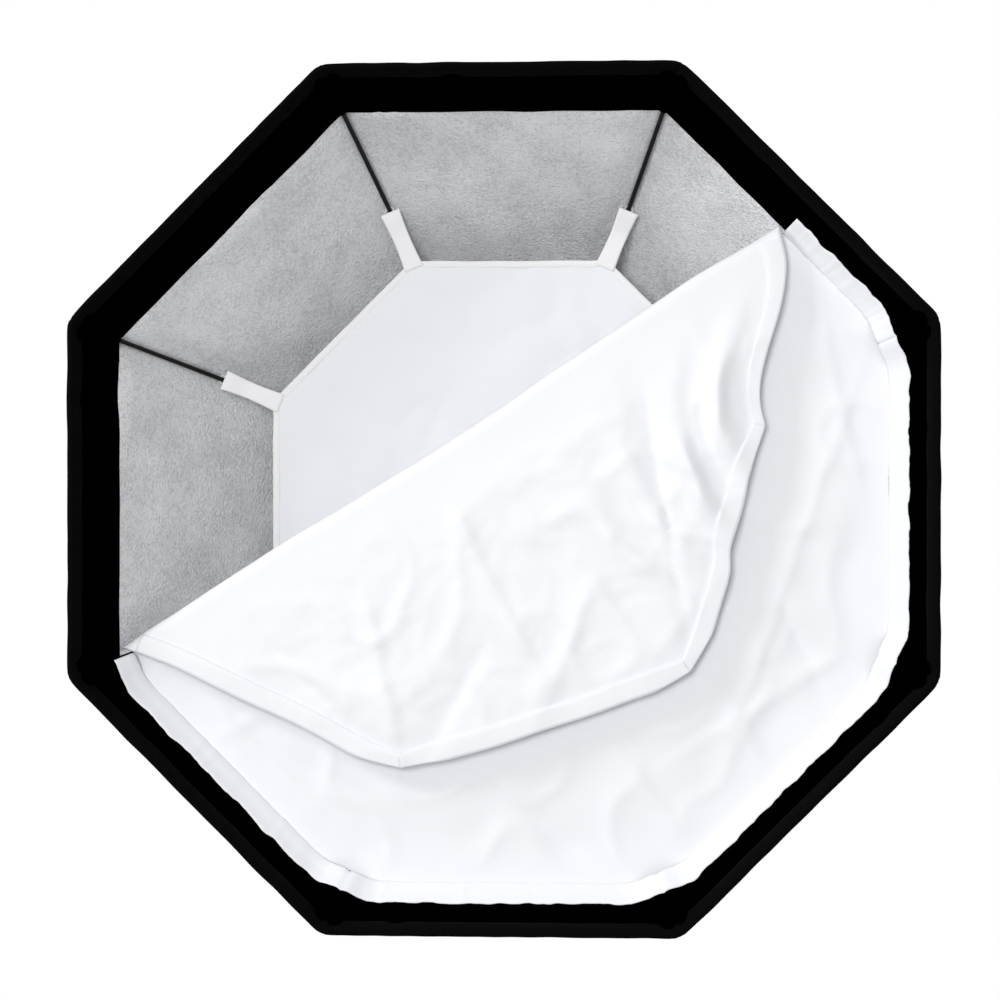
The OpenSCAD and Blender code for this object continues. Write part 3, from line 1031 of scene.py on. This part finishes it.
            def mapping(
                u: float, v: float, k: int = k, low: float = low, high: float = high
            ) -> Point:
                across = low + (high - low) * u
                corner = math.exp(-(((1 - abs(across)) / 0.13) ** 2))
                wave = 0.0028 * rough(across * 3, k, 0, 0.34, 5.0)
                wave += 0.0012 * rough(across * 9, k, 0, 0.4, 1.0)
                reach = 0.0215 + wave * (1 - corner) - 0.003 * corner
                y = BAND_Y + 0.004 - (reach + 0.004) * v
                pucker = 0.0012 * abs(rough(across * 11, k, 0, 0.6, 2.0))
                lift = 0.0050 - 0.0014 * v + pucker
                lift += 0.0009 * math.sin(min(v * 1.9, 1) * math.pi)
                lift += 0.0150 * corner
                return wall_point(k, y, across, lift)

            piece.grid(mapping, 96, 10)
        obj = piece.finish(Finish.CLOTH, 0.0009, weld=0.0004)
        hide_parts("front_hem")
        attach(obj, "box")

    def build(self) -> None:
        """Builds the front diffuser."""
        self.cloth()
        self.flap_tape()
        self.fixed_tape()


# ------------------------------------------------------------------ hard parts


@dataclass
class Hardware:
    """CAD nodes that are shown with rounded edges."""

    finishes: tuple[tuple[str, Finish, float], ...] = (
        ("bayonet_ring", Finish.CAST, 0.0006),
        ("speedring", Finish.COAT, 0.0010),
        ("retaining_ring", Finish.COAT, 0.0004),
        ("ring_screws", Finish.ZINC, 0.0003),
        ("rod_ferrules", Finish.ZINC, 0.0003),
        ("rod_tips", Finish.RUBBER, 0.0005),
    )

    def build(self) -> None:
        """Dresses every CAD node that stays visible."""
        wanted = list(self.finishes)
        wanted += [(f"rod_{i}", Finish.ROD, 0.0) for i in range(1, SIDES + 1)]
        wanted += [(f"clamp_screw_{i}", Finish.PLASTIC, 0.0005) for i in range(1, 5)]
        for name, finish, width in wanted:
            node = bpy.data.objects[name]
            dress(node, finish)
            if width:
                bevel = node.modifiers.new("Edges", "BEVEL")
                bevel.width, bevel.segments = width, 2
                bevel.limit_method, bevel.angle_limit = "ANGLE", math.radians(40)
            LOG.info("CAD node %s dressed", name)


# ------------------------------------------------------------------ light and camera


@dataclass
class Studio:
    """White surroundings, soft lights and the camera."""

    camera_place: Point = (0.205, -3.594, 0.030)
    target: Point = (0.0, -0.4, 0.0)
    lens: float = 105.5
    sensor: float = 36.0
    ambient: float = 0.42
    # Each lamp's name, place, width in metres and power in watts
    lamps: tuple[tuple[str, Point, float, float], ...] = (
        ("Key", (-3.0, -1.9, 2.0), 0.9, 50.0),
        ("Fill", (-0.4, -4.4, 0.5), 1.2, 80.0),
        ("Back", (1.2, 2.8, 1.8), 1.6, 75.0),
    )

    def surroundings(self) -> None:
        """Makes the world: plain white to the camera, softer for lighting."""
        world = bpy.data.worlds.new("Studio")
        bpy.context.scene.world = world
        world.use_nodes = True
        nodes, links = world.node_tree.nodes, world.node_tree.links
        nodes.clear()
        path = nodes.new("ShaderNodeLightPath")
        lit, seen = nodes.new("ShaderNodeBackground"), nodes.new("ShaderNodeBackground")
        lit.inputs["Color"].default_value = seen.inputs["Color"].default_value = (1, 1, 1, 1)
        lit.inputs["Strength"].default_value = self.ambient
        seen.inputs["Strength"].default_value = 1.0
        mix, out = nodes.new("ShaderNodeMixShader"), nodes.new("ShaderNodeOutputWorld")
        links.new(path.outputs["Is Camera Ray"], mix.inputs["Fac"])
        links.new(lit.outputs[0], mix.inputs[1])
        links.new(seen.outputs[0], mix.inputs[2])
        links.new(mix.outputs[0], out.inputs["Surface"])

    def aim(self, obj: bpy.types.Object, place: Point) -> None:
        """Puts a lamp or the camera in its place, turned to the object.

        Args:
            obj: the lamp or the camera.
            place: where it stands.
        """
        obj.location = place
        towards = Vector(self.target) - Vector(place)
        obj.rotation_euler = towards.to_track_quat("-Z", "Y").to_euler()

    def lamp(self, name: str, place: Point, size: float, power: float) -> None:
        """Adds a soft lamp aimed at the object.

        Args:
            name: its name.
            place: where it stands.
            size: width of its face in metres.
            power: power in watts.
        """
        data = bpy.data.lights.new(name, "AREA")
        data.size, data.energy = size, power
        obj = bpy.data.objects.new(name, data)
        bpy.context.scene.collection.objects.link(obj)
        self.aim(obj, place)

    def build(self) -> None:
        """Builds world, lamps and camera."""
        self.surroundings()
        for name, place, size, power in self.lamps:
            self.lamp(name, place, size, power)
        data = bpy.data.cameras.new("Camera")
        data.lens, data.sensor_width = self.lens, self.sensor
        camera = bpy.data.objects.new("Camera", data)
        bpy.context.scene.collection.objects.link(camera)
        self.aim(camera, self.camera_place)
        scene = bpy.context.scene
        scene.camera = camera
        scene.view_settings.view_transform = "Standard"


def write_sizes() -> None:
    """Logs one fixed line; no box is measured or written.
    """
    LOG.info("sizes written")


def main() -> None:
    """Builds the whole scene."""
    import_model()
    for part in (Canopy(), InnerDiffuser(), FrontDiffuser(), Hardware(), Studio()):
        part.build()
    write_sizes()


if __name__ == "__main__":
    main()
